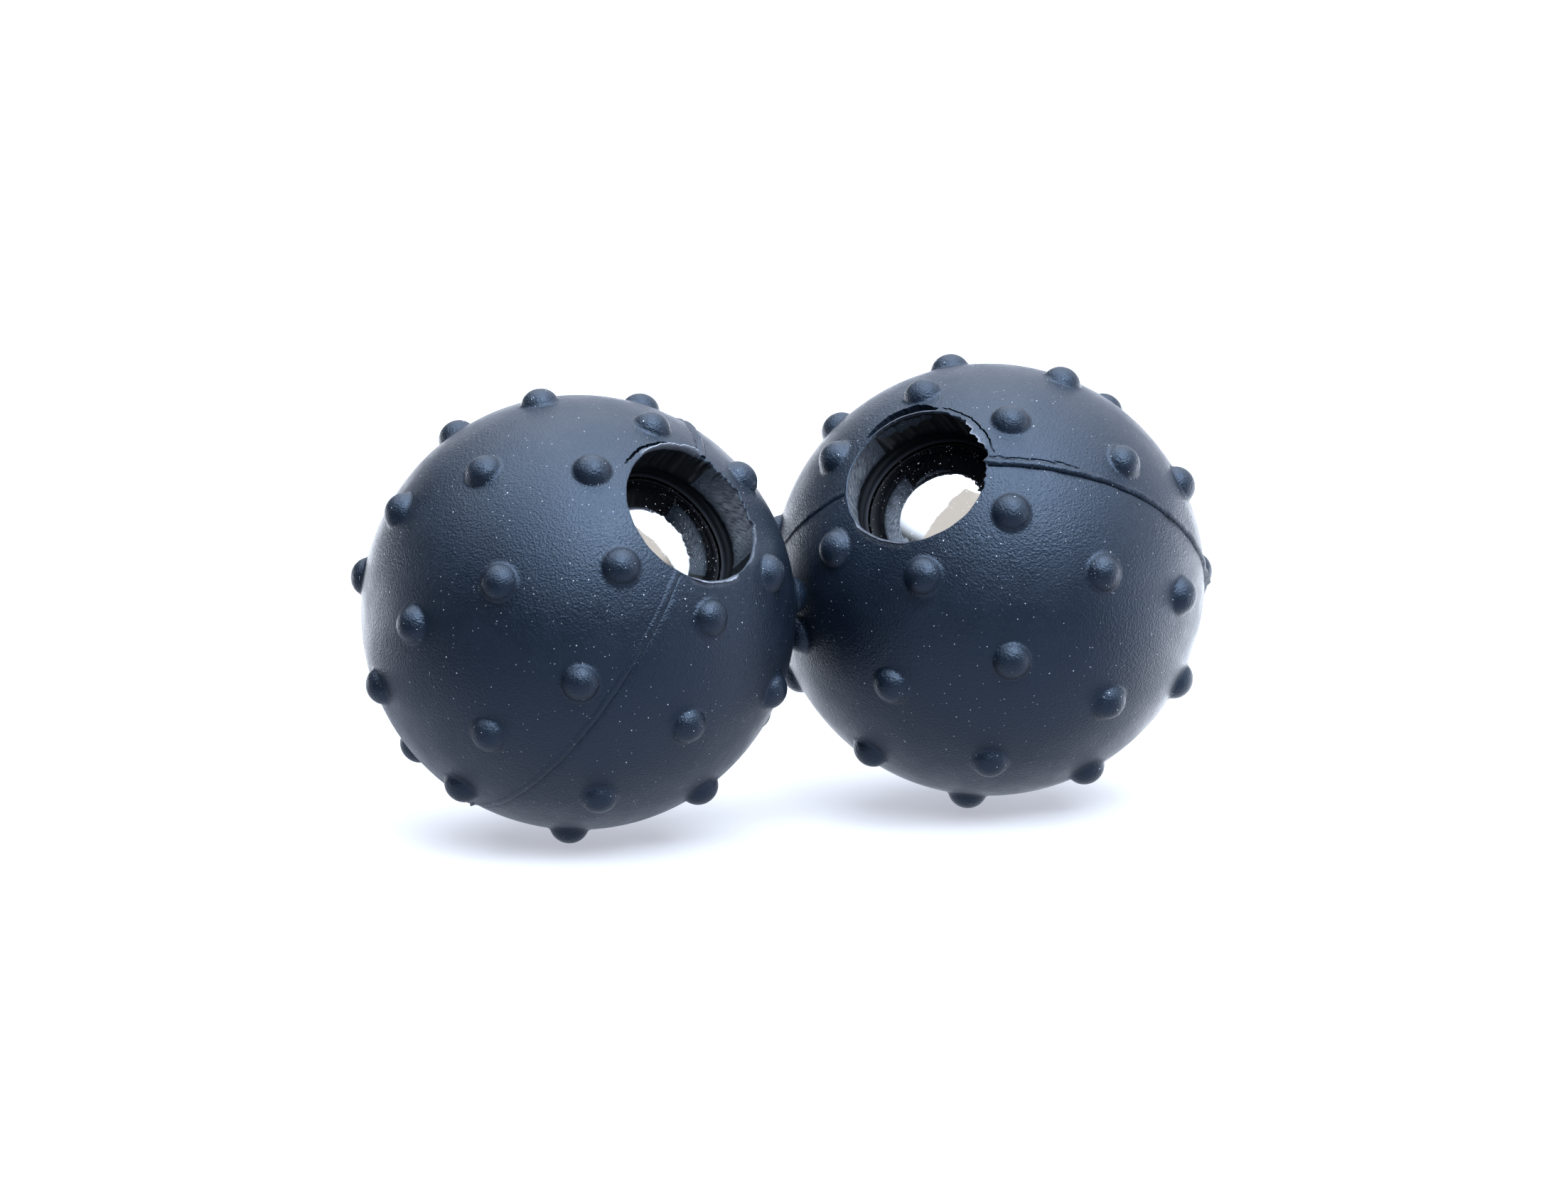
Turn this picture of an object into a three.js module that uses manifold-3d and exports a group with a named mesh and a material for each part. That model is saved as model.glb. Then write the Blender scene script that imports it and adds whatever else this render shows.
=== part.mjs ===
// A pair of nubbed rubber balls that cling together. Each ball is a one-piece moulded rubber skin
// over a loose polished metal core ball, which shows through the skin's round mouth.
// Millimetres, +Z up. +X runs through both ball centres, from the left ball to the right one.
// The origin is on the ground under the point where the balls touch.
import * as THREE from "three";
import { mergeVertices } from "three/addons/utils/BufferGeometryUtils.js";
import Module from "manifold-3d";

// Skin
const bodyRadius = 15; // smooth outside of the skin, without the nubs
const cavityRadius = 11.6; // hollow that holds the core
const mouthRadius = 5.3; // bore of the mouth
const rimRound = 0.3; // chamfer where the bore meets the outside
const ledgeRadius = 5; // inner edge of the ledge that keeps the core in
const ledgeHeight = 10.75; // ledge's outer edge, measured from the ball's centre along the mouth axis

// Core
const coreRadius = 11.3; // turns in the cavity with 0.3 mm all round

// Nubs: rings about the mouth axis, as [angle from the mouth axis in degrees, nubs in the ring]
const nubRings = [[30, 6], [60, 9], [90, 10], [120, 9], [150, 6], [180, 1]];
const nubHeight = 0.95; // tip above the skin
const nubRadius = 1.38; // at the skin
const nubSides = 8;
const nubSteps = 3; // rings of facets on the dome

// Pair: the twist of each ball about its own mouth axis is the turn of its parting plane
const centreDistance = 30.54; // nub tip of the right ball just clear of the left skin
const centreHeight = 15.68; // the lowest nub rests on the ground
const leftPlace = { azimuth: -67.9, elevation: 37.2, turn: 138.7 };
const rightPlace = { azimuth: -139.65, elevation: 40.6, turn: 109.1 };

// Facets
const skinSegments = 36;
const coreSegments = 32;

const wasm = await Module();
wasm.setup();

const degrees = THREE.MathUtils.degToRad;

const rubber = new THREE.MeshStandardMaterial({ color: 0x1c2128, roughness: 0.7, metalness: 0 });
const metal = new THREE.MeshStandardMaterial({ color: 0xd4d2cc, roughness: 0.06, metalness: 1 });

// Points of an arc about the ball's centre, in the lathe's half plane. Angles run from the mouth axis.
function arcPoints(radius, fromAngle, toAngle, steps) {
  const points = [];
  for (let i = 0; i <= steps; i += 1) {
    const angle = fromAngle + ((toAngle - fromAngle) * i) / steps;
    points.push(new THREE.Vector2(radius * Math.sin(angle), radius * Math.cos(angle)));
  }
  return points;
}

// A lathe turns about +Y, so it is stood up to turn about +Z, the ball's mouth axis.
function turned(points, segments) {
  for (const point of points) {
    if (Math.abs(point.x) < 1e-9) point.x = 0;
  }
  return new THREE.LatheGeometry(points, segments).rotateX(Math.PI / 2);
}

function solidOf(geometry) {
  const bare = geometry.clone();
  bare.deleteAttribute("normal");
  bare.deleteAttribute("uv");
  const merged = mergeVertices(bare, 1e-4);
  return new wasm.Manifold(
    new wasm.Mesh({
      numProp: 3,
      vertProperties: merged.attributes.position.array,
      triVerts: new Uint32Array(merged.index.array),
    }),
  );
}

function geometryOf(solid) {
  const mesh = solid.getMesh();
  const geometry = new THREE.BufferGeometry();
  geometry.setAttribute("position", new THREE.BufferAttribute(mesh.vertProperties, 3));
  geometry.setIndex(new THREE.BufferAttribute(mesh.triVerts, 1));
  geometry.computeVertexNormals();
  return geometry;
}

// Hollow ball with the mouth at +Z: outside, chamfered rim, bore, ledge, cavity.
function shellGeometry() {
  const rimRadius = mouthRadius + rimRound;
  const rimAngle = Math.asin(rimRadius / bodyRadius);
  const rimHeight = bodyRadius * Math.cos(rimAngle);
  const ledgeAngle = Math.asin(ledgeRadius / cavityRadius);
  const profile = [
    ...arcPoints(bodyRadius, Math.PI, rimAngle, 17),
    new THREE.Vector2(mouthRadius, rimHeight - rimRound),
    new THREE.Vector2(mouthRadius, ledgeHeight),
    ...arcPoints(cavityRadius, ledgeAngle, Math.PI, 13),
  ];
  return turned(profile, skinSegments);
}

// Domed nub at +Z: half a ball whose flat side is buried in the wall, so that the dome meets the
// skin at nubRadius.
function nubGeometry() {
  const domeRadius = (nubRadius ** 2 + nubHeight ** 2) / (2 * nubHeight);
  const domeCentre = bodyRadius + nubHeight - domeRadius;
  const dome = arcPoints(domeRadius, Math.PI / 2, 0, nubSteps);
  for (const point of dome) point.y += domeCentre;
  return turned([new THREE.Vector2(0, domeCentre), ...dome], nubSides);
}

// Nubs of one ring are evenly spaced, and the first one stands on the normal of the parting plane.
function skinGeometry() {
  let skin = solidOf(shellGeometry());
  for (const [ringAngle, count] of nubRings) {
    for (let i = 0; i < count; i += 1) {
      const nub = nubGeometry();
      nub.rotateY(degrees(ringAngle));
      nub.rotateZ(Math.PI / 2 + (2 * Math.PI * i) / count);
      skin = skin.add(solidOf(nub));
    }
  }
  return geometryOf(skin);
}

// Skin and core of one ball, aimed by nested groups: azimuth, then tilt, then turn about the mouth.
function ball(side, offset, place, skin, core) {
  const centre = new THREE.Group();
  centre.position.set(offset, 0, centreHeight);
  centre.rotation.z = degrees(place.azimuth);
  const tilt = new THREE.Group();
  tilt.rotation.y = degrees(90 - place.elevation);
  centre.add(tilt);

  const skinMesh = new THREE.Mesh(skin, rubber.clone());
  skinMesh.name = side + "_skin";
  skinMesh.rotation.z = degrees(place.turn);
  const coreMesh = new THREE.Mesh(core, metal.clone());
  coreMesh.name = side + "_core";
  tilt.add(skinMesh, coreMesh);
  return centre;
}

const pair = new THREE.Group();
const skin = skinGeometry();
const core = turned(arcPoints(coreRadius, Math.PI, 0, coreSegments / 2), coreSegments);
pair.add(ball("left", -centreDistance / 2, leftPlace, skin, core));
pair.add(ball("right", centreDistance / 2, rightPlace, skin, core));

export default pair;
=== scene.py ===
from math import asin, cos, pi, radians, sin, tau

import bmesh
import bpy
import numpy as np
from mathutils import Matrix, Vector

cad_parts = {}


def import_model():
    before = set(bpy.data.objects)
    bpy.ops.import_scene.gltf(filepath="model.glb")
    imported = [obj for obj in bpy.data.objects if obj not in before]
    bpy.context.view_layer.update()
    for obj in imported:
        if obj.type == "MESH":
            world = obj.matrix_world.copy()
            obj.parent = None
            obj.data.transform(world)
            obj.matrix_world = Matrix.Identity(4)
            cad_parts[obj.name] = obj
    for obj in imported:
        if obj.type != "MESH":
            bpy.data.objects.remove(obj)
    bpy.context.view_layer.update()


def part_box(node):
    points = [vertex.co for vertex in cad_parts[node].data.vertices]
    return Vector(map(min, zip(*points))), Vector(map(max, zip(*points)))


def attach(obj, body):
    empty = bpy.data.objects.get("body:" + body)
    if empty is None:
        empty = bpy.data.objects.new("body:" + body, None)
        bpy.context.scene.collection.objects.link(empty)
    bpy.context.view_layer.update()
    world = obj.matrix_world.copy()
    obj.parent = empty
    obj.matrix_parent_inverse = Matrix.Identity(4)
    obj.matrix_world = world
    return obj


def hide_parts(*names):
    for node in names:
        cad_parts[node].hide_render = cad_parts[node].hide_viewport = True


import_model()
mm = 0.001  # shapes are worked out in millimetres about a ball's centre, mouth up, then put in place


def addNode(tree, kind, **settings):
    node = tree.nodes.new(kind)
    for name, value in settings.items():
        setattr(node, name, value)
    return node


def feed(tree, socket, value):
    if isinstance(value, bpy.types.NodeSocket):
        tree.links.new(value, socket)
    else:
        socket.default_value = value


def calc(tree, operation, *values, clamp=False):
    node = addNode(tree, "ShaderNodeMath", operation=operation, use_clamp=clamp)
    for socket, value in zip(node.inputs, values):
        feed(tree, socket, value)
    return node.outputs[0]


def vectorCalc(tree, operation, *values, scale=None):
    node = addNode(tree, "ShaderNodeVectorMath", operation=operation)
    for socket, value in zip(node.inputs, values):
        feed(tree, socket, value)
    if scale is not None:
        feed(tree, node.inputs["Scale"], scale)
    return node.outputs["Value" if operation in ("DOT_PRODUCT", "LENGTH", "DISTANCE") else "Vector"]


def fade(tree, value, low, high, toLow=0.0, toHigh=1.0):
    node = addNode(tree, "ShaderNodeMapRange", interpolation_type="SMOOTHSTEP")
    for socket, part in zip(node.inputs, (value, low, high, toLow, toHigh)):
        feed(tree, socket, part)
    return node.outputs[0]


def mixColor(tree, factor, a, b):
    node = addNode(tree, "ShaderNodeMix", data_type="RGBA")
    for socket, value in zip((node.inputs[0], node.inputs[6], node.inputs[7]), (factor, a, b)):
        feed(tree, socket, value)
    return node.outputs[2]


def noise(tree, vector, scale, detail=2.0, roughness=0.5, distortion=0.0):
    node = addNode(tree, "ShaderNodeTexNoise")
    for name, value in (("Vector", vector), ("Scale", scale), ("Detail", detail),
                        ("Roughness", roughness), ("Distortion", distortion)):
        feed(tree, node.inputs[name], value)
    return node.outputs[0]


def newTree(name, kind, inputs, outputs):
    tree = bpy.data.node_groups.new(name, kind)
    for title, socketType, default in inputs:
        socket = tree.interface.new_socket(title, in_out="INPUT", socket_type=socketType)
        if default is not None:
            socket.default_value = default
    for title, socketType in outputs:
        tree.interface.new_socket(title, in_out="OUTPUT", socket_type=socketType)
    return tree, tree.nodes.new("NodeGroupInput").outputs, tree.nodes.new("NodeGroupOutput").inputs


def useGroup(tree, group, **values):
    node = addNode(tree, "ShaderNodeGroup", node_tree=group)
    for name, value in values.items():
        feed(tree, node.inputs[name], value)
    return node.outputs


def attribute(tree, name, vector=False):
    node = addNode(tree, "ShaderNodeAttribute", attribute_name=name)
    return node.outputs["Vector" if vector else "Fac"]


# where each ball stands: degrees its mouth is turned about +Z, raised, and turned about its own axis
places = {
    "left": {"azimuth": -67.9, "elevation": 37.2, "turn": 138.7},
    "right": {"azimuth": -139.65, "elevation": 40.6, "turn": 109.1},
}


def ballMatrix(side):
    low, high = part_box(side + "_core")
    place = places[side]
    aim = Matrix.Rotation(radians(place["azimuth"]), 4, "Z")
    tilt = Matrix.Rotation(radians(90 - place["elevation"]), 4, "Y")
    turn = Matrix.Rotation(radians(place["turn"]), 4, "Z")
    return Matrix.Translation((low + high) / 2) @ aim @ tilt @ turn @ Matrix.Scale(mm, 4)


skin = {
    "radius": 15.0,
    "mouthRadius": 5.3,
    "wallFoot": 11.4,  # height above the centre where the cut wall ends and the undercut starts
    "cavityRadius": 11.6,
    "cavityMouth": 5.6,  # radius of the cavity's edge under the ledge
    "gridAngle": 26.0,  # degrees from the mouth axis where the ball's mesh meets the mouth's rings
    "columns": 540,  # points round the mouth
    "subdivisions": 6,
    "beadWidth": 0.5,
    "beadHeight": 0.13,
    "beadWander": 0.03,
    "grooveDepth": 0.11,
    "grooveOff": 0.05,  # from the foot of the bead to the bottom of the groove
    "grooveHalf": 0.055,
    "crackDepth": 0.09,
    "crackOff": 0.17,
    "crackHalf": 0.035,
    "crackSpan": (16, 44),  # degrees from the mouth axis
    "crackWander": 0.09,
    "sharpAngle": 38.0,
}
nubs = {
    "rings": [(30, 6), (60, 9), (90, 10), (120, 9), (150, 6), (180, 1)],
    "Nub Height": 0.95,
    "Nub Radius": 1.34,
    "Foot Fillet": 0.3,
    "Reach": 2.1,
}
# Torn rims. "around" is in degrees about the mouth axis from the parting plane. A lip is a film left
# standing on the rim, and a tear is a slot in the skin beside it, from "inner" to "inner" + "wide" degrees
# off the mouth axis. The wall of the mouth is rough and painted pale within its cut span, partly for its cut
# finish and partly as painted light on the side the light reaches; elsewhere it is painted dark, as painted
# shade.
rims = {
    "left": {
        "lips": [
            {"around": (5, 59), "rise": 0.42, "lean": 0.25, "rag": 0.2},
            {"around": (-166, -122), "rise": 0.22, "lean": -0.3, "rag": 0.4},
            {"around": (-104, -62), "rise": 0.1, "lean": 0.0, "rag": 0.4},
        ],
        "tears": [{"around": (27, 77), "inner": 21.9, "wide": 0.6, "depth": 0.5, "bow": 0.3}],
        "cutAndLit": (-78, -22),
        "rough": {"around": (-72, 6), "size": 1.1},
        "burr": {"at": -133, "span": 7, "rise": 0.32},
        "seed": 0.4,
    },
    "right": {
        "lips": [
            {"around": (78, 128), "rise": 0.06, "lean": 1.6, "rag": 0.3},
            {"around": (16, 45), "rise": 0.1, "lean": 2.5, "rag": 0.25},
            {"around": (-150, -98), "rise": 0.12, "lean": -0.2, "rag": 0.3},
        ],
        "tears": [
            {"around": (74, 132), "inner": 20.9, "wide": 0.5, "depth": 1.15, "bow": 2.9},
            {"around": (8, 72), "inner": 21.7, "wide": 0.55, "depth": 0.35, "bow": -0.2},
        ],
        "cutAndLit": (140, 205),
        "rough": {"around": (-24, 60), "size": 0.9},
        "burr": {"at": 111, "span": 8, "rise": 0.3},
        "seed": 2.1,
    },
}


def within(around, span, soft=5.0):  # 1 inside a span of degrees, easing to 0 past its ends
    middle = (span[0] + span[1]) / 2
    away = np.abs((around - middle + 180) % 360 - 180)
    t = np.clip(((span[1] - span[0]) / 2 + soft / 2 - away) / soft, 0, 1)
    return t * t * (3 - 2 * t)


def ragged(around, seed, turns):  # fixed sines round the mouth, about -1 to 1
    a = np.radians(around)
    return sum(np.sin(n * a + seed * (k + 1) * 1.7) / (1 + 0.35 * k) for k, n in enumerate(turns)) / 1.9


def beadLift(points, burr):  # how far the parting bead stands off the skin at each point
    along = np.degrees(np.arctan2(points[:, 0], points[:, 2]))
    off = points[:, 1] + skin["beadWander"] * ragged(along, 0.7, (9, 23, 41))
    half = skin["beadWidth"] / 2
    crest = np.clip(1 - (off / half) ** 2, 0, 1) ** 0.8
    lift = skin["beadHeight"] * crest * (1 + 0.25 * ragged(along, 1.9, (31, 57, 97)))
    groove = off + half + skin["grooveOff"]
    lift -= skin["grooveDepth"] * np.exp(-((groove / skin["grooveHalf"]) ** 2))
    crack = off - half - skin["crackOff"] - skin["crackWander"] * ragged(along, 5.3, (61, 113, 173))
    here = within(along, skin["crackSpan"], 8)
    lift -= skin["crackDepth"] * np.exp(-((crack / skin["crackHalf"]) ** 2)) * here
    lift *= 0.9 + 0.4 * np.tanh(points[:, 0] / 3)  # bolder on one side of the mouth
    spiky = np.clip(0.55 + 0.6 * ragged(along, 3.1, (120, 211, 67)), 0.05, 1)
    span = (burr["at"] - burr["span"] / 2, burr["at"] + burr["span"] / 2)
    lift += burr["rise"] * spiky * within(along, span, 3) * np.exp(-((off / 0.1) ** 2))
    return lift


def nubDirections():
    found = []
    for angle, count in nubs["rings"]:
        for k in range(count):
            around = radians(90 + 360 * k / count)
            out = sin(radians(angle))
            found.append((out * cos(around), out * sin(around), cos(radians(angle))))
    return np.array(found)


def ballMesh():
    radius = skin["radius"]
    directions = nubDirections()
    bm = bmesh.new()
    bmesh.ops.create_icosphere(bm, subdivisions=skin["subdivisions"], radius=radius)
    for reach in (nubs["Reach"] + 0.35, nubs["Reach"] + 0.1):  # finer near each nub
        middles = np.array([((e.verts[0].co + e.verts[1].co) / 2).normalized() for e in bm.edges])
        near = (middles @ directions.T).max(1) > cos(reach / radius)
        edges = [e for e, chosen in zip(bm.edges, near) if chosen]
        bmesh.ops.subdivide_edges(bm, edges=edges, cuts=1, use_grid_fill=True)
        bmesh.ops.triangulate(bm, faces=bm.faces[:])
        for v in bm.verts:
            v.co = v.co.normalized() * radius
    half = skin["beadWidth"] / 2
    cuts = [half * s for s in (-1, -0.85, -0.6, -0.3, 0, 0.3, 0.6, 0.85, 1)]
    cuts += [-half - w for w in (0.02, 0.05, 0.08, 0.12)]
    cuts += [half + w for w in (0.06, 0.1, 0.14, 0.18, 0.22, 0.26, 0.32)]
    for y in sorted(cuts):  # edges along the parting bead, its groove and its crack
        bmesh.ops.bisect_plane(bm, geom=bm.verts[:] + bm.edges[:] + bm.faces[:], dist=1e-4,
                               plane_co=(0, y, 0), plane_no=(0, 1, 0))
    bmesh.ops.bisect_plane(bm, geom=bm.verts[:] + bm.edges[:] + bm.faces[:], dist=1e-4,
                           plane_co=(0, 0, radius * cos(radians(skin["gridAngle"]))), plane_no=(0, 0, 1),
                           clear_outer=True)
    bmesh.ops.triangulate(bm, faces=bm.faces[:])
    for v in bm.verts:
        v.co = v.co.normalized() * radius
    bm.verts.index_update()
    points = np.array([v.co for v in bm.verts])
    faces = [[v.index for v in f.verts] for f in bm.faces]
    rim = sorted({v.index for e in bm.edges if e.is_boundary for v in e.verts},
                 key=lambda i: np.arctan2(points[i, 1], points[i, 0]))
    bm.free()
    return points, faces, rim


def mouthRings(side):
    # rings of points from the ball's skin over the rim, down the wall, round the ledge and inside the cavity:
    # each is (distance from axis, height, outside, lip, wall, deep shade, ledge)
    rim = rims[side]
    around = np.degrees(np.linspace(-pi, pi, skin["columns"], endpoint=False))
    radius = skin["radius"]
    rimAngle = np.degrees(asin(skin["mouthRadius"] / radius))
    rough = within(around, rim["rough"]["around"], 12) * rim["rough"]["size"]
    rimAngle = rimAngle - 0.25 + 0.15 * ragged(around, rim["seed"], (3, 7, 19)) \
        + rough * (0.7 * ragged(around, rim["seed"] + 1, (11, 24, 37, 61)) - 0.5)
    plainInner = 22.4  # degrees off the axis, where there is no tear
    plainWide = 0.4
    inner = np.full_like(around, plainInner)
    wide = np.full_like(around, plainWide)
    depth = np.zeros_like(around)
    for tear in rim["tears"]:
        start, end = tear["around"]
        t = np.clip((around - start) / (end - start), 0, 1)
        bow = np.sin(pi * t) ** 0.6
        here = within(around, tear["around"], 4)
        inner += here * (tear["inner"] - plainInner)
        wide += here * (tear["wide"] - plainWide + max(tear["bow"], 0) * bow)
        inner += here * min(tear["bow"], 0) * bow
        depth += here * tear["depth"] * bow * (1 + 0.15 * ragged(around, rim["seed"], (29, 53)))
    inner += 0.2 * ragged(around, rim["seed"] + 2, (17, 39, 71, 103)) * (depth > 0)
    outer = inner + wide
    inner = np.maximum(inner, rimAngle + 0.5)
    rise = np.zeros_like(around)
    lean = np.zeros_like(around)
    for lip in rim["lips"]:
        here = within(around, lip["around"], 7)
        rag = 1 + lip["rag"] * ragged(around, rim["seed"] + 3, (13, 29, 47, 83))
        rise += here * lip["rise"] * rag
        lean += here * lip["lean"]
    rings = []

    def ring(angle, sink=0.0, outside=1.0, lip=0.0, wall=0.0, deepShade=0.0, ledge=0.0):
        a = np.radians(angle) + 0 * around
        reach = radius - sink
        rings.append((reach * np.sin(a), reach * np.cos(a), outside, lip, wall, deepShade, ledge))

    first = skin["gridAngle"] - 0.35
    for k in range(9):
        ring(first + (outer - first) * k / 8)
    # the slot of a tear is painted dark towards its bottom, as painted shade
    ring(outer - 0.12 * wide, depth, deepShade=depth)
    ring(inner + 0.5 * wide, depth * 1.1, deepShade=depth)
    ring(inner + 0.12 * wide, depth, deepShade=depth)
    ring(inner)
    for k in range(1, 5):
        ring(inner + (rimAngle + 0.35 - inner) * k / 4, lip=rise * k / 4)
    rimRho = radius * np.sin(np.radians(rimAngle))
    rimHeight = radius * np.cos(np.radians(rimAngle))

    def raised(out, up, lip):  # a point of the lip: out along the skin, up off it
        a = np.radians(rimAngle)
        lengthwise = out - lean * up
        rho = rimRho + lengthwise * np.cos(a) + up * np.sin(a)
        rings.append((rho, rimHeight - lengthwise * np.sin(a) + up * np.cos(a), 0.0, lip, 0.0, 0.0, 0.0))

    # the lip's film is painted pale as lit, up to three times as strongly along its crest: a painted
    # highlight
    lipSection = ((0.13, 0, 0, 0.5), (0.11, 0.5, 0, 1), (0.075, 1, 0, 3), (0.025, 1, 0, 3),
                  (0, 0.5, -0.02, 1), (-0.03, 0, -0.07, 0.5))
    for outward, share, drop, shade in lipSection:
        raised(outward, rise * share + drop, np.clip(rise, 0, 1) * shade)
    # within the cut span the wall is painted pale, partly for its cut finish and partly as painted light on
    # the side the light reaches
    cutAndLit = within(around, rim["cutAndLit"], 34)
    down = rimHeight - skin["wallFoot"] + 0.3 * np.cos(np.radians(around - 20))
    # painted shade: the wall is painted darker towards its foot, and dark all over outside its cut span
    for share, wallShade in ((0.1, 0), (0.25, 0), (0.45, 0), (0.65, 0.1), (0.85, 0.45), (1.0, 1)):
        rho = rimRho + (skin["mouthRadius"] - rimRho) * min(share * 2, 1) - 0.02
        rho = rho + 0.03 * ragged(around, rim["seed"] + 4 + share, (23, 41, 67))
        rings.append((rho, rimHeight - down * share, 0.0, 0.0, cutAndLit, np.maximum(wallShade, 0.85 - 0.85 * cutAndLit), 0.0))
    foot = rimHeight - down
    # the undercut, the ledge and the cavity are painted dark all over, as painted shade
    for rho, height in ((5.36, 0.12), (5.45, 0.3), (5.52, 0.55)):  # undercut
        rings.append((rho + 0 * around, foot - height, 0.0, 0.0, 0.0, 1.0, 0.0))
    # the ledge ring is painted lighter than the bore around it, as painted light where light reaches it
    ledgeSection = ((5.5, 10.5, 0), (5.4, 10.32, 0), (5.25, 10.3, 0.5), (5.12, 10.27, 1), (5.06, 10.2, 0))
    for rho, height, ledge in ledgeSection:
        rings.append((rho + 0 * around, height + 0 * around, 0.0, 0.0, 0.0, 1.0, ledge))
    cavity = skin["cavityRadius"]
    start = asin(skin["cavityMouth"] / cavity)
    steps = 13
    for k in range(steps):
        a = start + (pi - start) * k / steps
        rings.append((cavity * sin(a) + 0 * around, cavity * cos(a) + 0 * around, 0.0, 0.0, 0.0, 1.0, 0.0))
    return around, rings


def stitch(loopA, anglesA, loopB, anglesB):  # triangles between two closed loops, each sorted by angle
    faces = []
    i = j = 0
    while i < len(loopA) or j < len(loopB):
        a = loopA[i % len(loopA)]
        b = loopB[j % len(loopB)]
        endA = anglesA[(i + 1) % len(loopA)] + (tau if i + 1 >= len(loopA) else 0)
        endB = anglesB[(j + 1) % len(loopB)] + (tau if j + 1 >= len(loopB) else 0)
        if i < len(loopA) and (j >= len(loopB) or endA <= endB):
            faces.append((a, loopA[(i + 1) % len(loopA)], b))
            i += 1
        else:
            faces.append((a, loopB[(j + 1) % len(loopB)], b))
            j += 1
    return faces


def smoothSkin(side, ball):  # the skin without its nubs
    points, faces, loop = ball
    around, rings = mouthRings(side)
    columns = len(around)
    turns = np.radians(around)
    count = len(points)
    rows = []
    for rho, height, outside, lip, wall, deepShade, ledge in rings:
        flags = [0 * around + part for part in (outside, lip, wall, deepShade, ledge)]
        rows.append(np.column_stack([rho * np.cos(turns), rho * np.sin(turns), height] + flags))
    flagged = np.column_stack([points, np.ones(count), np.zeros((count, 4))])
    everything = np.vstack([flagged] + rows + [[0, 0, -skin["cavityRadius"], 0, 0, 0, 1, 0]])
    faces = list(faces)
    first = list(range(count, count + columns))
    faces += stitch(loop, np.arctan2(points[loop, 1], points[loop, 0]), first, turns)
    for row in range(len(rings) - 1):
        a = count + row * columns
        b = a + columns
        for k in range(columns):
            n = (k + 1) % columns
            faces.append((a + k, a + n, b + n, b + k))
    last = count + (len(rings) - 1) * columns
    pole = len(everything) - 1
    faces += [(last + k, last + (k + 1) % columns, pole) for k in range(columns)]
    place = everything[:, :3]
    size = np.linalg.norm(place, axis=1)
    onSkin = everything[:, 3] > 0.5
    lift = beadLift(place, rims[side]["burr"]) * onSkin
    place = place * ((size + lift) / size)[:, None]
    mesh = bpy.data.meshes.new(side + "_smooth_skin")
    mesh.from_pydata(place.tolist(), [], faces)
    for column, name in enumerate(("outside", "lip", "wall", "deepShade", "ledge"), 3):
        data = mesh.attributes.new(name, "FLOAT", "POINT").data
        data.foreach_set("value", everything[:, column].astype(np.float32))
    bm = bmesh.new()
    bm.from_mesh(mesh)
    bmesh.ops.recalc_face_normals(bm, faces=bm.faces[:])
    openEdges = sum(1 for e in bm.edges if not e.is_manifold)
    bm.to_mesh(mesh)
    bm.free()
    print(side, "skin:", len(mesh.polygons), "faces, open edges", openEdges)
    return mesh


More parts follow.
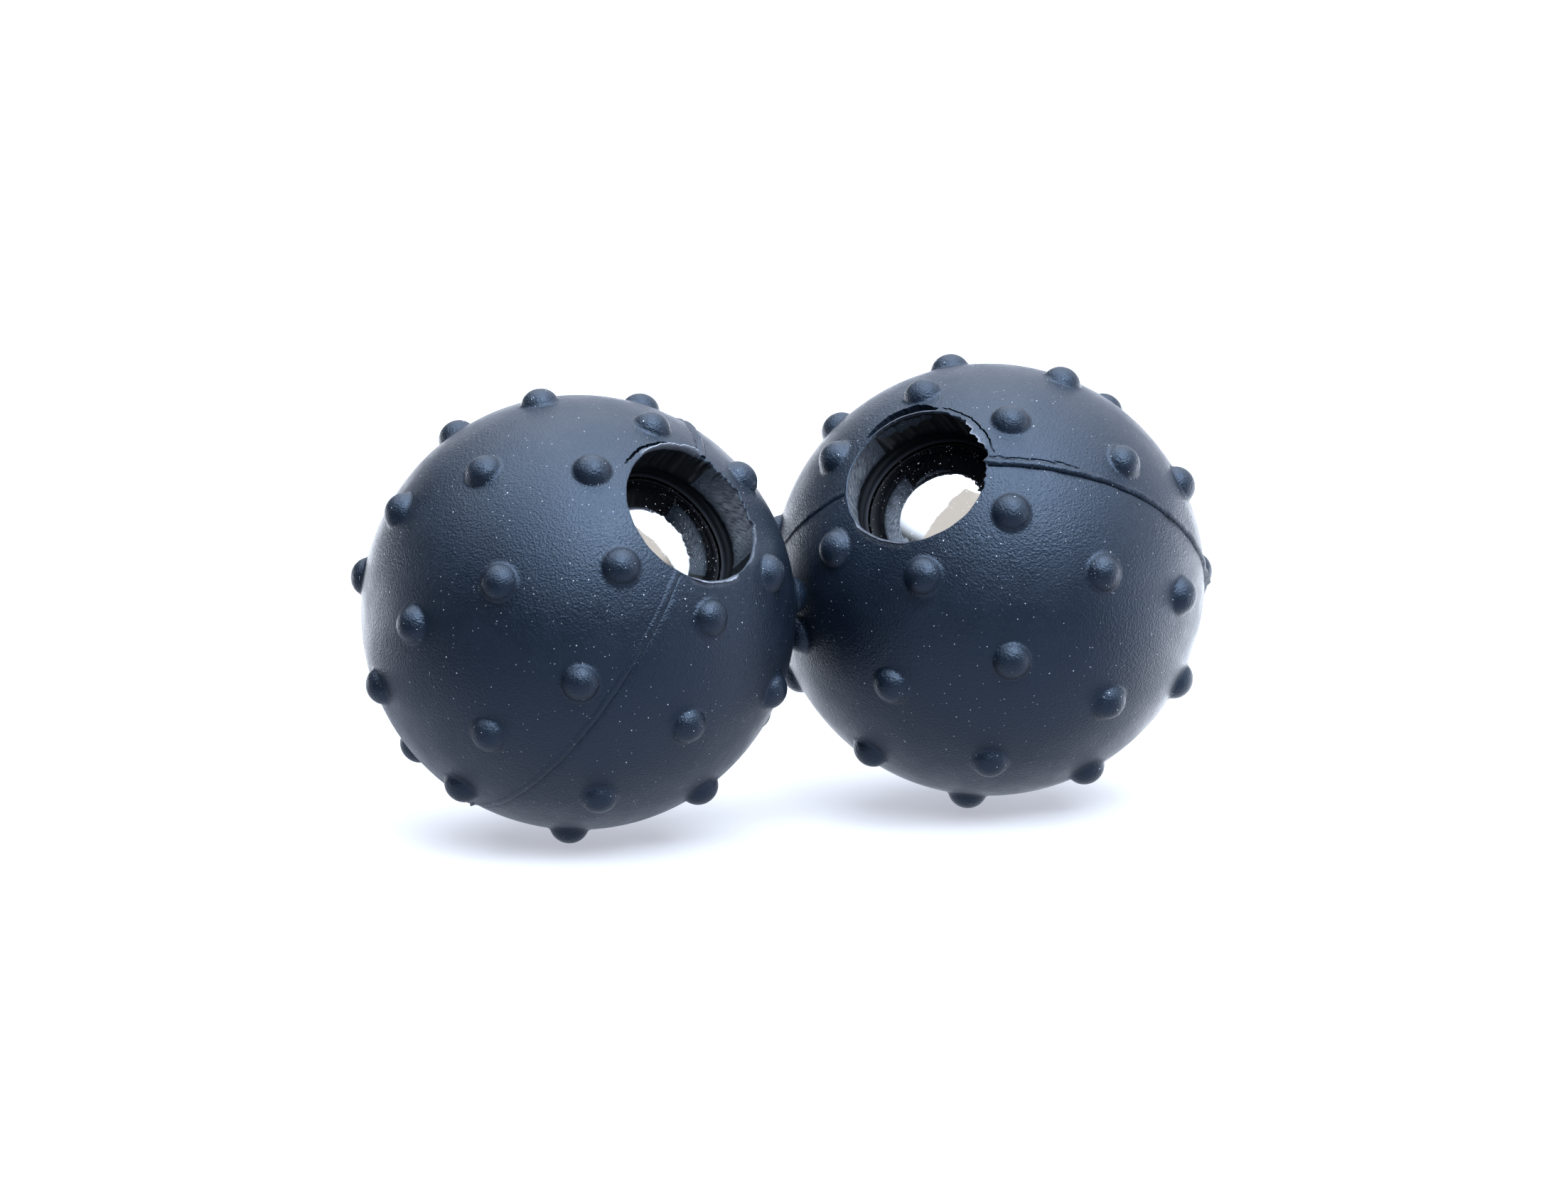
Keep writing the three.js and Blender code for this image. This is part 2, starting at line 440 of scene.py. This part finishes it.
def raiseNubsTree():
    tree, given, result = newTree(
        "raiseNubs", "GeometryNodeTree",
        [("Geometry", "NodeSocketGeometry", None), ("Ball Radius", "NodeSocketFloat", skin["radius"]),
         ("Nub Height", "NodeSocketFloat", 1.0), ("Nub Radius", "NodeSocketFloat", 1.0),
         ("Foot Fillet", "NodeSocketFloat", 0.3), ("Reach", "NodeSocketFloat", 2.0),
         ("Material", "NodeSocketMaterial", None)],
        [("Geometry", "NodeSocketGeometry")])
    radius = given["Ball Radius"]
    centres = addNode(tree, "GeometryNodeJoinGeometry")
    for angle, count in nubs["rings"]:
        ringNode = addNode(tree, "GeometryNodeMeshCircle" if count > 1 else "GeometryNodeMeshLine")
        if count > 1:
            ringNode.inputs["Vertices"].default_value = count
            feed(tree, ringNode.inputs["Radius"], calc(tree, "MULTIPLY", radius, sin(radians(angle))))
        else:
            ringNode.inputs["Count"].default_value = 1
        place = addNode(tree, "GeometryNodeTransform")
        lift = addNode(tree, "ShaderNodeCombineXYZ")
        feed(tree, lift.inputs[2], calc(tree, "MULTIPLY", radius, cos(radians(angle))))
        tree.links.new(ringNode.outputs[0], place.inputs[0])
        tree.links.new(lift.outputs[0], place.inputs["Translation"])
        place.inputs["Rotation"].default_value = (0, 0, radians(90))
        tree.links.new(place.outputs[0], centres.inputs[0])
    # section of a nub: a dome, a fillet round its foot, then the skin
    height, foot, fillet, reach = (given[n] for n in ("Nub Height", "Nub Radius", "Foot Fillet", "Reach"))
    square = calc(tree, "ADD", calc(tree, "MULTIPLY", foot, foot), calc(tree, "MULTIPLY", height, height))
    dome = calc(tree, "DIVIDE", square, calc(tree, "MULTIPLY", height, 2.0))
    sunk = calc(tree, "SUBTRACT", dome, height)  # the dome's centre is this far under the skin
    both = calc(tree, "ADD", dome, fillet)
    turnAngle = calc(tree, "ARCCOSINE", calc(tree, "DIVIDE", calc(tree, "ADD", fillet, sunk), both))
    footOut = calc(tree, "MULTIPLY", both, calc(tree, "SINE", turnAngle))
    domeLength = calc(tree, "MULTIPLY", dome, turnAngle)
    filletLength = calc(tree, "MULTIPLY", fillet, turnAngle)
    curved = calc(tree, "ADD", domeLength, filletLength)
    total = calc(tree, "ADD", curved, calc(tree, "SUBTRACT", reach, footOut))
    position = addNode(tree, "GeometryNodeInputPosition").outputs[0]
    nearest = addNode(tree, "GeometryNodeProximity", target_element="POINTS")
    tree.links.new(centres.outputs[0], nearest.inputs[0])
    onBall = vectorCalc(tree, "SCALE", vectorCalc(tree, "NORMALIZE", position), scale=radius)
    feed(tree, nearest.inputs["Sample Position"], onBall)
    chord = calc(tree, "DIVIDE", nearest.outputs["Distance"], calc(tree, "MULTIPLY", radius, 2.0))
    arc = calc(tree, "MULTIPLY", calc(tree, "ARCSINE", chord), calc(tree, "MULTIPLY", radius, 2.0))
    along = calc(tree, "MULTIPLY", calc(tree, "DIVIDE", arc, reach), total)
    domeTurn = calc(tree, "DIVIDE", calc(tree, "MINIMUM", along, domeLength), dome)
    past = calc(tree, "MAXIMUM", calc(tree, "SUBTRACT", along, domeLength), 0.0)
    filletTurn = calc(tree, "DIVIDE", calc(tree, "MINIMUM", past, filletLength), fillet)
    flat = calc(tree, "MAXIMUM", calc(tree, "SUBTRACT", along, curved), 0.0)
    left = calc(tree, "SUBTRACT", turnAngle, filletTurn)
    swing = calc(tree, "SUBTRACT", calc(tree, "SINE", turnAngle), calc(tree, "SINE", left))
    out = calc(tree, "ADD", calc(tree, "MULTIPLY", dome, calc(tree, "SINE", domeTurn)),
               calc(tree, "ADD", calc(tree, "MULTIPLY", fillet, swing), flat))
    drop = calc(tree, "SUBTRACT", calc(tree, "COSINE", left), calc(tree, "COSINE", turnAngle))
    up = calc(tree, "SUBTRACT", calc(tree, "MULTIPLY", dome, calc(tree, "COSINE", domeTurn)),
              calc(tree, "ADD", sunk, calc(tree, "MULTIPLY", fillet, drop)))
    axis = vectorCalc(tree, "NORMALIZE", nearest.outputs["Position"])
    alongAxis = vectorCalc(tree, "DOT_PRODUCT", position, axis)
    beside = vectorCalc(tree, "SUBTRACT", position, vectorCalc(tree, "SCALE", axis, scale=alongAxis))
    turned = calc(tree, "DIVIDE", out, radius)
    towards = vectorCalc(tree, "ADD", vectorCalc(tree, "SCALE", axis, scale=calc(tree, "COSINE", turned)),
                         vectorCalc(tree, "SCALE", vectorCalc(tree, "NORMALIZE", beside),
                                    scale=calc(tree, "SINE", turned)))
    moved = vectorCalc(tree, "SCALE", towards,
                       scale=calc(tree, "ADD", vectorCalc(tree, "LENGTH", position), up))
    outside = addNode(tree, "GeometryNodeInputNamedAttribute", data_type="FLOAT")
    outside.inputs["Name"].default_value = "outside"
    chosen = calc(tree, "MULTIPLY", calc(tree, "GREATER_THAN", outside.outputs[0], 0.5),
                  calc(tree, "LESS_THAN", arc, reach))
    keep = addNode(tree, "GeometryNodeStoreNamedAttribute", data_type="FLOAT", domain="POINT")
    keep.inputs["Name"].default_value = "nubArc"
    tree.links.new(given["Geometry"], keep.inputs["Geometry"])
    feed(tree, keep.inputs["Value"], calc(tree, "MULTIPLY", calc(tree, "DIVIDE", out, reach), chosen))
    keepPoint = addNode(tree, "GeometryNodeStoreNamedAttribute", data_type="FLOAT_VECTOR", domain="POINT")
    keepPoint.inputs["Name"].default_value = "ballPoint"
    tree.links.new(keep.outputs[0], keepPoint.inputs["Geometry"])
    feed(tree, keepPoint.inputs["Value"], position)
    shift = addNode(tree, "GeometryNodeSetPosition")
    tree.links.new(keepPoint.outputs[0], shift.inputs["Geometry"])
    tree.links.new(chosen, shift.inputs["Selection"])
    tree.links.new(moved, shift.inputs["Position"])
    real = addNode(tree, "GeometryNodeRealizeInstances")
    paint = addNode(tree, "GeometryNodeSetMaterial")
    tree.links.new(shift.outputs[0], real.inputs[0])
    tree.links.new(real.outputs[0], paint.inputs["Geometry"])
    tree.links.new(given["Material"], paint.inputs["Material"])
    tree.links.new(paint.outputs[0], result["Geometry"])
    return tree


def growNubs(mesh, tree, material, name):
    holder = bpy.data.objects.new(name, mesh)
    bpy.context.scene.collection.objects.link(holder)
    modifier = holder.modifiers.new("raiseNubs", "NODES")
    modifier.node_group = tree
    for item in tree.interface.items_tree:
        if item.in_out == "INPUT" and item.name in nubs:
            modifier[item.identifier] = nubs[item.name]
        if item.in_out == "INPUT" and item.name == "Ball Radius":
            modifier[item.identifier] = skin["radius"]
        if item.in_out == "INPUT" and item.name == "Material":
            modifier[item.identifier] = material
    graph = bpy.context.evaluated_depsgraph_get()
    plain = bpy.data.meshes.new_from_object(holder.evaluated_get(graph))
    holder.modifiers.clear()
    holder.data = plain
    plain.name = name
    return holder


def paintBore(mesh, material):  # the dark inside of the mouth and the cavity
    # painted shade: faces deep in the mouth and the cavity get the near-black bore material with little
    # specular
    mesh.materials.append(material)
    deepShade = mesh.attributes["deepShade"].data
    outside = mesh.attributes["outside"].data
    for face in mesh.polygons:
        if all(deepShade[v].value > rubber["boreDeep"] and outside[v].value < 0.5 for v in face.vertices):
            face.material_index = 1


def dustGroup():
    tree, given, result = newTree(
        "dustSpecks", "ShaderNodeTree",
        [("Vector", "NodeSocketVector", None), ("Spacing", "NodeSocketFloat", 0.5),
         ("Size", "NodeSocketFloat", 0.06), ("Share", "NodeSocketFloat", 0.3)],
        [("Mask", "NodeSocketFloat")])
    cells = addNode(tree, "ShaderNodeTexVoronoi", feature="F1")
    feed(tree, cells.inputs["Vector"], given["Vector"])
    feed(tree, cells.inputs["Scale"], calc(tree, "DIVIDE", 1.0, given["Spacing"]))
    reach = calc(tree, "MULTIPLY", cells.outputs["Distance"], given["Spacing"])
    split = addNode(tree, "ShaderNodeSeparateColor")
    tree.links.new(cells.outputs["Color"], split.inputs[0])
    size = calc(tree, "MULTIPLY", given["Size"], calc(tree, "ADD", 0.4, split.outputs[1]))
    spot = fade(tree, reach, calc(tree, "MULTIPLY", size, 0.6), size, 1.0, 0.0)
    there = calc(tree, "LESS_THAN", split.outputs[0], given["Share"])
    feed(tree, result["Mask"], calc(tree, "MULTIPLY", spot, there))
    return tree


def grainGroup():
    tree, given, result = newTree(
        "mouldGrain", "ShaderNodeTree",
        [("Vector", "NodeSocketVector", None), ("Grain Size", "NodeSocketFloat", 0.2),
         ("Waves", "NodeSocketFloat", 0.5)],
        [("Height", "NodeSocketFloat"), ("Patches", "NodeSocketFloat")])
    fine = noise(tree, given["Vector"], calc(tree, "DIVIDE", 1.0, given["Grain Size"]), 2.0, 0.6)
    broad = noise(tree, given["Vector"], 0.35, 3.0, 0.55)
    drawn = vectorCalc(tree, "MULTIPLY", given["Vector"], (0.5, 0.5, 2.2))
    waves = noise(tree, drawn, 1.3, 2.0, 0.6, 1.5)
    cells = addNode(tree, "ShaderNodeTexVoronoi", feature="SMOOTH_F1")
    feed(tree, cells.inputs["Vector"], given["Vector"])
    feed(tree, cells.inputs["Scale"], calc(tree, "DIVIDE", 0.6, given["Grain Size"]))
    fine = calc(tree, "MULTIPLY_ADD", cells.outputs["Distance"], 0.9, fine)
    feed(tree, result["Height"], calc(tree, "MULTIPLY_ADD", waves, given["Waves"], fine))
    feed(tree, result["Patches"], broad)
    return tree


def bump(tree, height, strength, distance):
    node = addNode(tree, "ShaderNodeBump")
    feed(tree, node.inputs["Height"], height)
    node.inputs["Strength"].default_value = strength
    node.inputs["Distance"].default_value = distance
    return node.outputs[0]


def newMaterial(name):
    material = bpy.data.materials.new(name)
    material.use_nodes = True
    return material, material.node_tree, material.node_tree.nodes["Principled BSDF"]


rubber = {
    "skin": (0.003, 0.006, 0.012, 1),
    # pale wall within the cut span: partly its cut finish, partly painted light
    "wall": (0.14, 0.15, 0.17, 1),
    "wallScratch": (0.02, 0.022, 0.028, 1),
    # near-black painted shade inside the mouth, the cavity and the tear slots
    "deepShade": (0.002, 0.003, 0.005, 1),
    # painted light: the ledge ring, lighter than the skin, where light reaches it
    "ledge": (0.016, 0.018, 0.024, 1),
    # painted light: the torn film is painted pale, brightest along its crest as a painted highlight
    "litFilm": (0.3, 0.32, 0.38, 1),
    "dust": (0.62, 0.66, 0.72, 1),
    "gloss": (0.58, 0.74, 1.0, 1),
    "roughness": 0.36,
    "grainDepth": 0.038,
    "grain": {"Grain Size": 0.1, "Waves": 0.15},
    "coarseDust": {"Spacing": 0.6, "Size": 0.045, "Share": 0.3},
    "fineDust": {"Spacing": 0.25, "Size": 0.03, "Share": 0.22},
    "dustStrength": 0.85,
    "boreRoughness": 0.45,
    "boreSpecular": 0.06,
    "boreDeep": 0.8,  # faces deeper than this are painted as bore
}


def wallScratches(tree):  # slanting knife marks on the cut wall of the mouth, 0 to 1
    point = addNode(tree, "ShaderNodeSeparateXYZ")
    tree.links.new(attribute(tree, "ballPoint", True), point.inputs[0])
    around = calc(tree, "ARCTAN2", point.outputs[1], point.outputs[0])
    across = calc(tree, "MULTIPLY", around, skin["mouthRadius"])
    slant = addNode(tree, "ShaderNodeCombineXYZ")
    feed(tree, slant.inputs[0], calc(tree, "MULTIPLY", calc(tree, "ADD", across, point.outputs[2]), 5.0))
    feed(tree, slant.inputs[1], calc(tree, "MULTIPLY", calc(tree, "SUBTRACT", across, point.outputs[2]), 0.9))
    return fade(tree, noise(tree, slant.outputs[0], 1.0, 3.0, 0.6, 0.3), 0.3, 0.62)


def rubberMaterial(dust, grain):
    material, tree, shader = newMaterial("matteRubber")
    where = addNode(tree, "ShaderNodeTexCoord").outputs["Object"]
    inMm = vectorCalc(tree, "SCALE", where, scale=1 / mm)
    grained = useGroup(tree, grain, Vector=inMm, **rubber["grain"])
    specks = useGroup(tree, dust, Vector=inMm, **rubber["coarseDust"])["Mask"]
    fineSpecks = useGroup(tree, dust, Vector=inMm, **rubber["fineDust"])["Mask"]
    color = mixColor(tree, fade(tree, grained["Patches"], 0.35, 0.7, 0.0, 0.35), rubber["skin"],
                     tuple(v * 1.5 for v in rubber["skin"][:3]) + (1,))
    wall = attribute(tree, "wall")
    deepShade = attribute(tree, "deepShade")
    ledge = attribute(tree, "ledge")
    lip = attribute(tree, "lip")
    scratches = wallScratches(tree)
    # the wall is painted pale within its cut span: partly its cut finish, partly painted light
    color = mixColor(tree, wall, color, mixColor(tree, scratches, rubber["wallScratch"], rubber["wall"]))
    # painted shade: near-black inside the mouth, the cavity and the tear slots
    color = mixColor(tree, calc(tree, "MINIMUM", deepShade, 1.0), color, rubber["deepShade"])
    # painted light: the ledge ring is painted lighter, as lit
    color = mixColor(tree, calc(tree, "MINIMUM", ledge, 1.0), color, rubber["ledge"])
    # painted light: the film is painted pale, with a painted highlight along its crest
    color = mixColor(tree, calc(tree, "MINIMUM", lip, 1.0), color, rubber["litFilm"])
    dusty = calc(tree, "MULTIPLY", calc(tree, "MAXIMUM", specks, fineSpecks),
                 calc(tree, "SUBTRACT", 1.0, deepShade, clamp=True))
    color = mixColor(tree, calc(tree, "MULTIPLY", dusty, rubber["dustStrength"]), color, rubber["dust"])
    tree.links.new(color, shader.inputs["Base Color"])
    rough = fade(tree, grained["Patches"], 0.3, 0.7, rubber["roughness"] - 0.05, rubber["roughness"] + 0.06)
    cutOrDeep = calc(tree, "MAXIMUM", deepShade, wall)
    feed(tree, shader.inputs["Roughness"], calc(tree, "MULTIPLY_ADD", cutOrDeep, 0.25, rough))
    relief = calc(tree, "MULTIPLY_ADD", calc(tree, "MULTIPLY", scratches, wall), 2.0, grained["Height"])
    tree.links.new(bump(tree, relief, 1.0, rubber["grainDepth"] * mm), shader.inputs["Normal"])
    shader.inputs["Specular Tint"].default_value = rubber["gloss"]
    return material


def boreMaterial():
    # painted shade: the bore is near-black, with little specular
    material, tree, shader = newMaterial("shadedBore")
    ledge = attribute(tree, "ledge")
    # painted light: the ledge ring is lighter than the painted shade around it
    tree.links.new(mixColor(tree, ledge, rubber["deepShade"], rubber["ledge"]), shader.inputs["Base Color"])
    shader.inputs["Roughness"].default_value = rubber["boreRoughness"]
    shader.inputs["Specular IOR Level"].default_value = rubber["boreSpecular"]
    return material


metal = {
    "color": (0.77, 0.79, 0.81, 1),
    "dust": (0.5, 0.52, 0.55, 1),
    "roughness": 0.03,
    "specks": {"Spacing": 0.2, "Size": 0.04, "Share": 0.5},
    "haze": 0.05,  # roughness added where the plate is hazed
}


def metalMaterial(dust):
    material, tree, shader = newMaterial("polishedPlate")
    inMm = vectorCalc(tree, "SCALE", addNode(tree, "ShaderNodeTexCoord").outputs["Object"], scale=1 / mm)
    specks = useGroup(tree, dust, Vector=inMm, **metal["specks"])["Mask"]
    haze = fade(tree, noise(tree, inMm, 0.9, 4.0, 0.6), 0.45, 0.7)
    specks = calc(tree, "MULTIPLY", specks, calc(tree, "ADD", 0.3, haze, clamp=True))
    tree.links.new(mixColor(tree, specks, metal["color"], metal["dust"]), shader.inputs["Base Color"])
    feed(tree, shader.inputs["Metallic"], calc(tree, "SUBTRACT", 1.0, specks))
    veil = calc(tree, "MULTIPLY_ADD", haze, metal["haze"], metal["roughness"])
    feed(tree, shader.inputs["Roughness"], calc(tree, "MULTIPLY_ADD", specks, 0.4, veil))
    return material


def setPiece(piece, side, body, node):
    piece.data.transform(ballMatrix(side))
    piece.data.shade_smooth()
    piece.data.set_sharp_from_angle(angle=radians(skin["sharpAngle"]))
    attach(piece, body)
    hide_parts(node)


dust = dustGroup()
grain = grainGroup()
matteRubber = rubberMaterial(dust, grain)
shadedBore = boreMaterial()
polishedPlate = metalMaterial(dust)
ball = ballMesh()
nubTree = raiseNubsTree()
for side in ("left", "right"):
    piece = growNubs(smoothSkin(side, ball), nubTree, matteRubber, side + "_rubber_skin")
    paintBore(piece.data, shadedBore)
    setPiece(piece, side, side + "_skin", side + "_skin")
    print(side, "skin done:", len(piece.data.polygons), "faces")

core = {"radius": 11.3, "subdivisions": 6}
for side in ("left", "right"):
    bm = bmesh.new()
    bmesh.ops.create_icosphere(bm, subdivisions=core["subdivisions"], radius=core["radius"])
    mesh = bpy.data.meshes.new(side + "_core_ball")
    bm.to_mesh(mesh)
    bm.free()
    mesh.materials.append(polishedPlate)
    piece = bpy.data.objects.new(side + "_core_ball", mesh)
    bpy.context.scene.collection.objects.link(piece)
    setPiece(piece, side, side + "_core", side + "_core")
print("cores done")

studio = {
    "azimuth": -21.8,
    "elevation": 11.5,
    "distance": 1.747,
    "target": (0, 0, 0.0156),
    "lens": 580,
    "floor": (0.42, 0.42, 0.42, 1),
    "floorSize": 6,
    "floorRoughness": 0.6,
    "glow": (0.43, 0.445, 0.5, 1),
    # the floor as the balls see it: darker, and brightest close by and behind
    "bounce": (0.07, 0.07, 0.08, 1),
    "glowNear": (0.6, 0.66, 0.78, 1),
    "glowRear": (3.3, 3.45, 3.7, 1),
    "nearReach": (0.035, 0.09),  # metres from the origin
    "rearReach": (0.0, 0.04),
    "rearTurn": -15,  # degrees
    "glowFar": (0.02, 0.025, 0.03, 1),
}


def direction(azimuth, elevation):
    a = radians(azimuth)
    e = radians(elevation)
    return Vector((sin(a) * cos(e), -cos(a) * cos(e), sin(e)))


def aimed(thing, position, target):
    thing.location = position
    thing.rotation_euler = (Vector(target) - Vector(position)).to_track_quat("-Z", "Y").to_euler()
    bpy.context.scene.collection.objects.link(thing)


# the room as the balls see it: how bright each part is, and at which height (0 level, 1 overhead) it changes
room = {
    "open": (-79, 64),  # degrees of azimuth between two diffusers
    "torn": 0.08,  # how ragged the diffusers' edges are, in radians
    "frontHeight": (0.4, 0.6),
    "sideHeight": (0.48, 0.66),
    "topHeight": (0.68, 0.8),
    "overheadHeight": (0.5, 0.68),
    "overheadLeft": (-0.72, -0.55),  # radians of azimuth
    "overheadRight": (0.75, 0.9),
    "rearTurn": -24,  # degrees that the rear light is turned from straight behind
    "rearSpread": (0.6, 0.85),  # cosines of the angle from its middle
    "rightFrom": (0.0, 0.3),
    "fillAzimuth": (0.1, 0.7),  # a weak light low on the right
    "fillLow": (-0.3, 0.25),
    "fillHigh": (0.3, 0.42),
    "zenith": (0.96, 0.985),
    "frontLow": (0.03, 0.03, 0.04, 1),
    "frontHigh": (0.80, 0.75, 0.70, 1),
    "leftLow": (0.08, 0.09, 0.10, 1),
    "rightLow": (1.3, 1.4, 1.6, 1),
    "rear": (1.15, 1.25, 1.45, 1),
    "sides": (1.9, 2.1, 2.4, 1),
    "top": (3.9, 4.3, 4.8, 1),
    "frontTop": (9.5, 10.7, 12.0, 1),
    "fill": (1.3, 1.4, 1.6, 1),
}


def world():
    made = bpy.data.worlds.new("studio")
    bpy.context.scene.world = made
    made.use_nodes = True
    tree = made.node_tree
    back = tree.nodes["Background"]
    look = vectorCalc(tree, "NORMALIZE", addNode(tree, "ShaderNodeTexCoord").outputs["Generated"])
    parts = addNode(tree, "ShaderNodeSeparateXYZ")
    tree.links.new(look, parts.inputs[0])
    height = parts.outputs[2]
    torn = calc(tree, "MULTIPLY_ADD", noise(tree, look, 7.0, 3.0), 2 * room["torn"], -room["torn"])
    azimuth = calc(tree, "ARCTAN2", parts.outputs[0], calc(tree, "MULTIPLY", parts.outputs[1], -1.0))
    azimuth = calc(tree, "ADD", azimuth, torn)
    left, right = (radians(a) for a in room["open"])
    opening = calc(tree, "MULTIPLY", fade(tree, azimuth, left - 0.01, left + 0.01),
                   fade(tree, azimuth, right - 0.01, right + 0.01, 1.0, 0.0))
    onRight = fade(tree, azimuth, *room["rightFrom"])
    sideLow = mixColor(tree, onRight, room["leftLow"], room["rightLow"])
    rear = tuple(-direction(studio["azimuth"] + room["rearTurn"], 0))
    towardsRear = vectorCalc(tree, "DOT_PRODUCT", look, rear)
    sideLow = mixColor(tree, fade(tree, towardsRear, *room["rearSpread"]), sideLow, room["rear"])
    side = mixColor(tree, fade(tree, height, *room["sideHeight"]), sideLow, room["sides"])
    side = mixColor(tree, fade(tree, height, *room["topHeight"]), side, room["top"])
    front = mixColor(tree, fade(tree, height, *room["frontHeight"]), room["frontLow"], room["frontHigh"])
    overhead = calc(tree, "MULTIPLY", fade(tree, azimuth, *room["overheadLeft"]),
                    fade(tree, azimuth, *room["overheadRight"], 1.0, 0.0))
    overhead = calc(tree, "MULTIPLY", overhead, fade(tree, height, *room["overheadHeight"]))
    overhead = calc(tree, "MAXIMUM", overhead, fade(tree, height, *room["zenith"]))
    fill = calc(tree, "MULTIPLY", fade(tree, height, *room["fillLow"]),
                fade(tree, height, *room["fillHigh"], 1.0, 0.0))
    fill = calc(tree, "MULTIPLY", fill, fade(tree, azimuth, *room["fillAzimuth"]))
    front = mixColor(tree, fill, front, room["fill"])
    front = mixColor(tree, overhead, front, room["frontTop"])
    light = mixColor(tree, opening, side, front)
    seen = addNode(tree, "ShaderNodeLightPath").outputs["Is Camera Ray"]
    feed(tree, back.inputs["Color"], mixColor(tree, seen, light, (1, 1, 1, 1)))
    back.inputs["Strength"].default_value = 1.0


bpy.ops.mesh.primitive_plane_add(size=studio["floorSize"], location=(0, 0, 0))
floor = bpy.context.object
floor.name = "floor"
material, tree, shader = newMaterial("whiteSweep")
onFloor = addNode(tree, "ShaderNodeTexCoord").outputs["Object"]
near = fade(tree, vectorCalc(tree, "LENGTH", onFloor), *studio["nearReach"], 1.0, 0.0)
towardsRear = tuple(-direction(studio["azimuth"] + studio["rearTurn"], 0))
behind = fade(tree, vectorCalc(tree, "DOT_PRODUCT", onFloor, towardsRear), *studio["rearReach"])
seen = addNode(tree, "ShaderNodeLightPath").outputs["Is Camera Ray"]
glow = mixColor(tree, near, studio["glowFar"], studio["glowNear"])
glow = mixColor(tree, behind, glow, studio["glowRear"])
tree.links.new(mixColor(tree, seen, glow, studio["glow"]), shader.inputs["Emission Color"])
tree.links.new(mixColor(tree, seen, studio["bounce"], studio["floor"]), shader.inputs["Base Color"])
shader.inputs["Roughness"].default_value = studio["floorRoughness"]
shader.inputs["Emission Strength"].default_value = 1.0
floor.data.materials.append(material)
world()
camera = bpy.data.cameras.new("camera")
camera.lens = studio["lens"]
camera.clip_end = 20
cameraObject = bpy.data.objects.new("camera", camera)
target = Vector(studio["target"])
aimed(cameraObject, target + direction(studio["azimuth"], studio["elevation"]) * studio["distance"], target)
bpy.context.scene.camera = cameraObject
bpy.context.scene.view_settings.view_transform = "Standard"
print("studio done")
